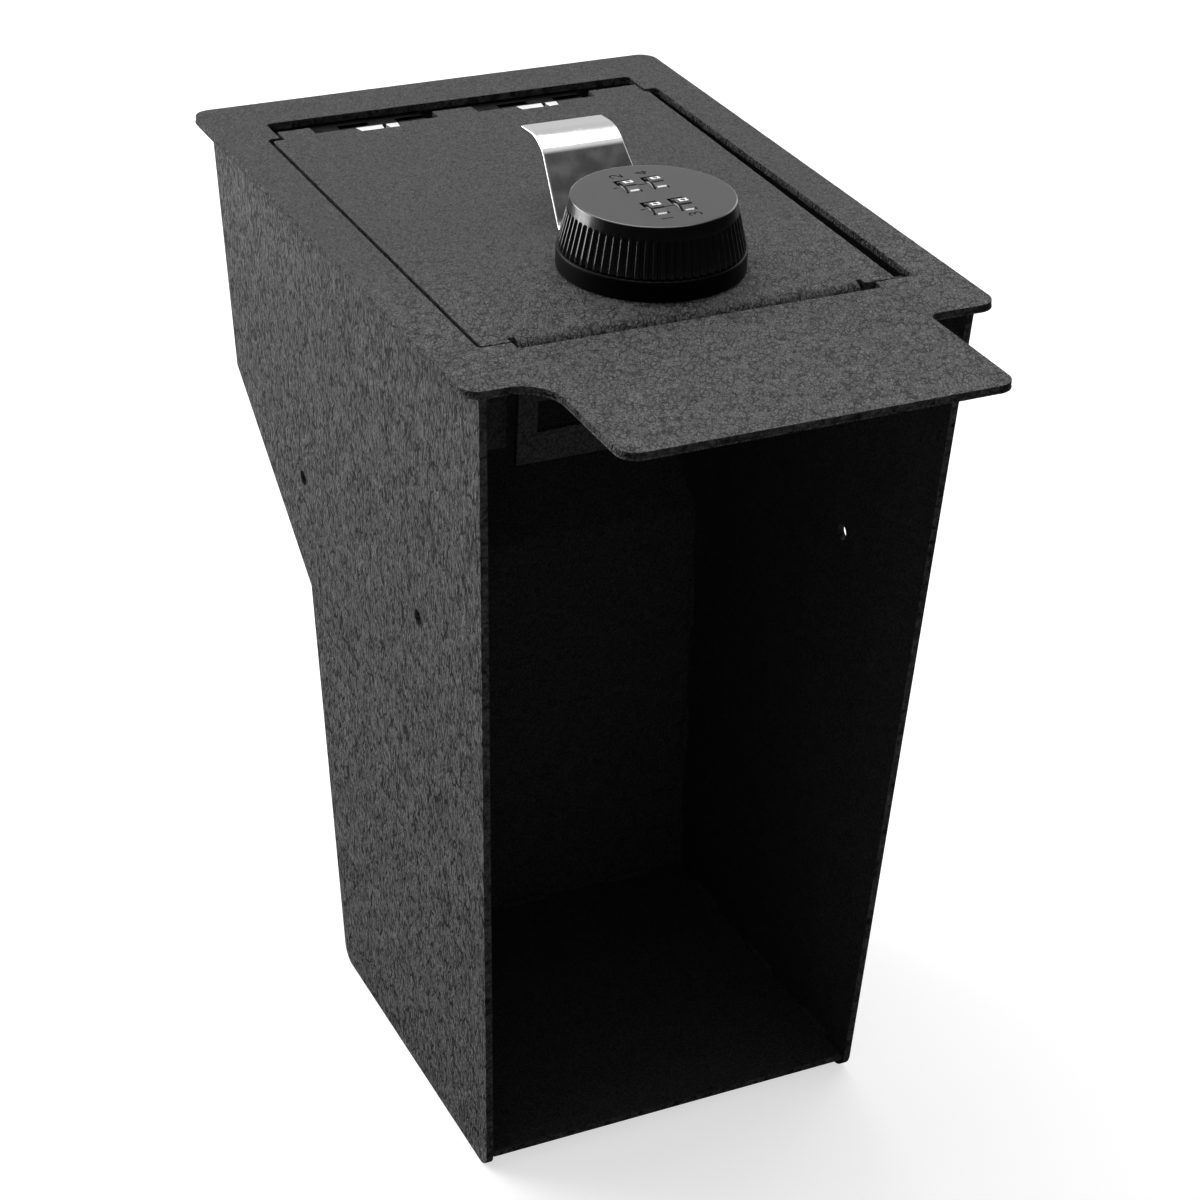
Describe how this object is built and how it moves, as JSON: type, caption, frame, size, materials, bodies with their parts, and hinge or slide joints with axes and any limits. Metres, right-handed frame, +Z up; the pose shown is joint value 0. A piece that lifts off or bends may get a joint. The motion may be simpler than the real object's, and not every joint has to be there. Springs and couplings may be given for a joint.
{
  "type": "console safe",
  "caption": "Drop-in sheet-steel safe for a vehicle's centre console, with an open front, a hinged lid, a combination knob and a sliding locking bar.",
  "frame": {"origin": "middle of the overall box's footprint, at the height of the side walls' lower edges", "axes": "+Z up through the lid, +Y towards the hinges, -Y towards the tongue over the open front, +X to the right seen from the front"},
  "size_m": [0.168, 0.281, 0.3101],
  "materials": {
    "powder_coat": "textured matt black powder coat with a fine wrinkle",
    "knob_plastic": "satin black moulded plastic",
    "wheel_plastic": "satin dark grey plastic with white marks",
    "chrome_plate": "bright nickel plate on bent steel strip",
    "zinc_plate": "bright zinc plate on steel"
  },
  "bodies": {
    "case": {"top_plate": "powder_coat", "left_wall": "powder_coat", "right_wall": "powder_coat", "back_wall": "powder_coat", "floor_plate": "powder_coat", "lid_stop_left": "powder_coat", "lid_stop_right": "powder_coat", "strike": "powder_coat", "left_hinge_frame_leaf": "zinc_plate", "right_hinge_frame_leaf": "zinc_plate", "left_hinge_pin": "zinc_plate", "right_hinge_pin": "zinc_plate"},
    "lid": {"lid": "powder_coat", "finger_pull": "chrome_plate", "knob_base": "knob_plastic", "lock_barrel": "zinc_plate", "lock_washer": "zinc_plate", "lock_nut": "zinc_plate", "guide_left": "zinc_plate", "guide_right": "zinc_plate", "left_hinge_lid_leaf": "zinc_plate", "right_hinge_lid_leaf": "zinc_plate"},
    "knob": {"knob": "knob_plastic", "spindle": "zinc_plate", "cam": "zinc_plate", "cam_screw": "zinc_plate", "wheel_axle_front": "zinc_plate", "wheel_axle_rear": "zinc_plate"},
    "bar": {"locking_bar": "zinc_plate"},
    "wheel_1": {"wheel_1": "wheel_plastic"},
    "wheel_2": {"wheel_2": "wheel_plastic"},
    "wheel_3": {"wheel_3": "wheel_plastic"},
    "wheel_4": {"wheel_4": "wheel_plastic"}
  },
  "joints": [
    {"name": "lid_hinge", "type": "hinge", "parent": "case", "child": "lid", "pos_m": [0, 0.1144, 0.2818], "axis": [-1, 0, 0], "range_deg": [0, 95]},
    {"name": "knob_turn", "type": "hinge", "parent": "lid", "child": "knob", "pos_m": [0.0016, -0.0296, 0.3], "axis": [0, 0, -1], "range_deg": [0, 90]},
    {"name": "bar_slide", "type": "slide", "parent": "lid", "child": "bar", "axis": [0, -1, 0], "range_m": [0, 0.01273]},
    {"name": "wheel_1_spin", "type": "hinge", "parent": "knob", "child": "wheel_1", "pos_m": [-0.0023, -0.03855, 0.3021], "axis": [1, 0, 0], "continuous": true},
    {"name": "wheel_2_spin", "type": "hinge", "parent": "knob", "child": "wheel_2", "pos_m": [-0.0023, -0.02065, 0.3021], "axis": [1, 0, 0], "continuous": true},
    {"name": "wheel_3_spin", "type": "hinge", "parent": "knob", "child": "wheel_3", "pos_m": [0.0065, -0.03855, 0.3021], "axis": [1, 0, 0], "continuous": true},
    {"name": "wheel_4_spin", "type": "hinge", "parent": "knob", "child": "wheel_4", "pos_m": [0.0065, -0.02065, 0.3021], "axis": [1, 0, 0], "continuous": true}
  ],
  "couplings": [
    {"joint": "bar_slide", "follows": "knob_turn", "m_per_rad": 0.0081029}
  ]
}
